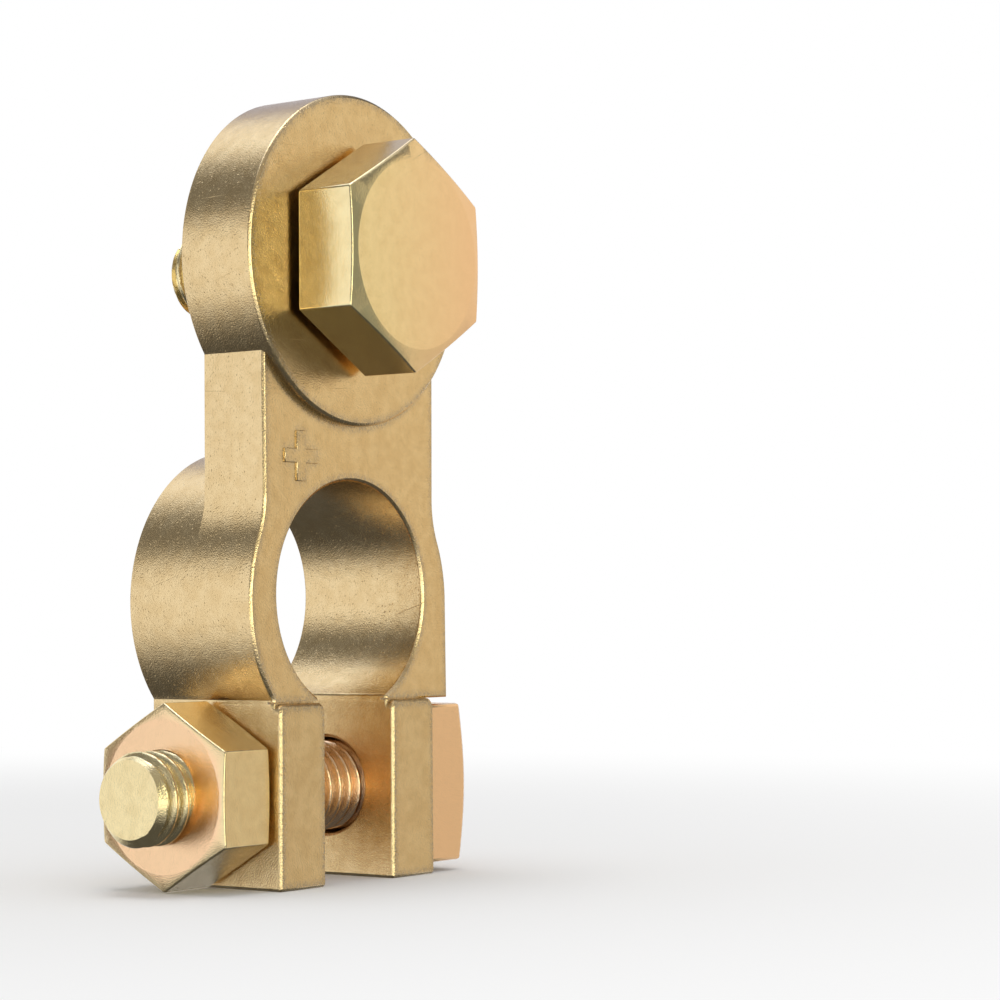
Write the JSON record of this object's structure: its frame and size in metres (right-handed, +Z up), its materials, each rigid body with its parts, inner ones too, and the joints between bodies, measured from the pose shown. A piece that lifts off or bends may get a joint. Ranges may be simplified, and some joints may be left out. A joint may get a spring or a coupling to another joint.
{
  "type": "battery terminal clamp",
  "caption": "Brass clamp for a vehicle battery post: a split ring closed by a square head bolt and a nut, with an arm up to a bolted cable seat.",
  "frame": {"origin": "centre of the post bore, halfway through the ring's depth", "axes": "+Z up from the ears to the cable bolt, +Y along the post bore away from the hexagon head, +X towards the square head"},
  "size_m": [0.0348, 0.0241, 0.0646],
  "materials": {
    "cast_brass": "satin cast brass, finely grained and lightly scratched",
    "turned_brass": "satin turned brass with fine grain"
  },
  "bodies": {
    "casting": {"clamp_body": "cast_brass"},
    "cable_bolt": {"cable_bolt": "turned_brass"},
    "clamp_bolt": {"clamp_bolt": "turned_brass"},
    "clamp_nut": {"clamp_nut": "turned_brass"}
  },
  "joints": [
    {"name": "nut_spin", "type": "hinge", "parent": "casting", "child": "clamp_nut", "pos_m": [-0.0103, 0, -0.01595], "axis": [-1, 0, 0], "range_deg": [0, 2520]},
    {"name": "clamp_bolt_travel", "type": "slide", "parent": "casting", "child": "clamp_bolt", "axis": [1, 0, 0], "range_m": [0, 0.00875]},
    {"name": "cable_bolt_travel", "type": "slide", "parent": "casting", "child": "cable_bolt", "axis": [0, 1, 0], "range_m": [-0.01, 0.0006]}
  ],
  "couplings": [
    {"joint": "clamp_bolt_travel", "follows": "nut_spin", "m_per_rad": 0.00019894}
  ]
}
